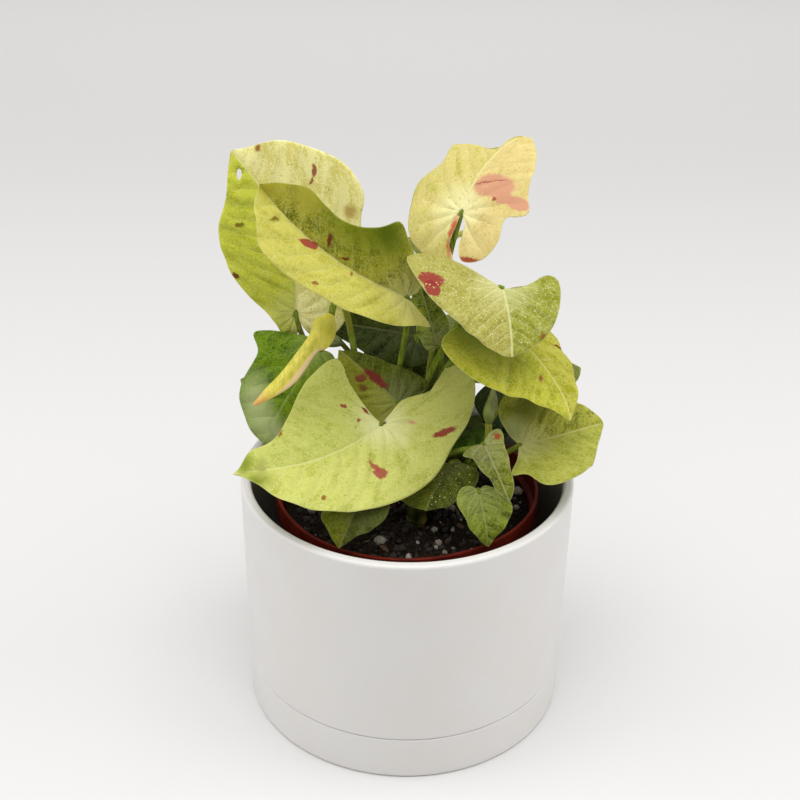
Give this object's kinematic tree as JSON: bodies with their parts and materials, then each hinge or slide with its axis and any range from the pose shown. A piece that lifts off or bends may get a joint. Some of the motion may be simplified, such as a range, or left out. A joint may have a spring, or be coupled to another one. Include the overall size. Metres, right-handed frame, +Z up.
{
  "type": "potted syngonium",
  "caption": "Arrowhead plant with cream, green and pink marbled leaves in a thin red nursery pot, set in a straight white ceramic planter on a matching saucer",
  "frame": {"origin": "middle of the saucer underside, where the object stands", "axes": "+Z up along the planter axis, -Y towards the viewer of the picture, +X to that viewer's right"},
  "size_m": [0.1475, 0.133, 0.2324],
  "materials": {
    "white_ceramic": "satin white glaze",
    "red_plastic": "thin moulded red-brown plastic",
    "dark_soil": "moist dark potting soil",
    "stem_green": "smooth green stem",
    "leaf_cream": "cream-yellow leaf with green marbling",
    "leaf_pink": "cream leaf with pink patches",
    "leaf_lime": "yellow-green leaf",
    "leaf_olive": "olive leaf",
    "leaf_grey_green": "grey-green leaf with a bloom",
    "leaf_green": "deep green leaf"
  },
  "bodies": {
    "root": {"saucer": "white_ceramic", "planter": "white_ceramic", "nursery_pot": "red_plastic", "soil": "dark_soil", "stem_left": "stem_green", "stem_front": "stem_green", "stem_right": "stem_green", "stem_back": "stem_green", "leaf_back_left": "leaf_cream", "leaf_rolled_young": "leaf_cream", "leaf_back_right": "leaf_cream", "leaf_crown_back": "leaf_cream", "leaf_back_upper": "leaf_cream", "leaf_crown_pink": "leaf_pink", "leaf_middle_right": "leaf_lime", "leaf_front": "leaf_lime", "leaf_small_front_left": "leaf_lime", "leaf_back_middle": "leaf_lime", "leaf_side_right": "leaf_lime", "leaf_side_left": "leaf_lime", "leaf_inner_small": "leaf_lime", "leaf_upper_left": "leaf_olive", "leaf_back_small_right": "leaf_olive", "leaf_upper_right": "leaf_grey_green", "leaf_low_right": "leaf_grey_green", "leaf_narrow_front": "leaf_grey_green", "leaf_young_tip": "leaf_grey_green", "leaf_inner_red": "leaf_green", "leaf_low_left": "leaf_green", "leaf_small_front_middle": "leaf_green", "leaf_small_front_right": "leaf_green", "leaf_inner_right": "leaf_green", "leaf_inner_folded": "leaf_green", "leaf_back_low_left": "leaf_green", "leaf_back_small_middle": "leaf_green", "leaf_inner_left": "leaf_green", "leaf_inner_back": "leaf_green", "leaf_inner_low": "leaf_green"}
  },
  "joints": []
}
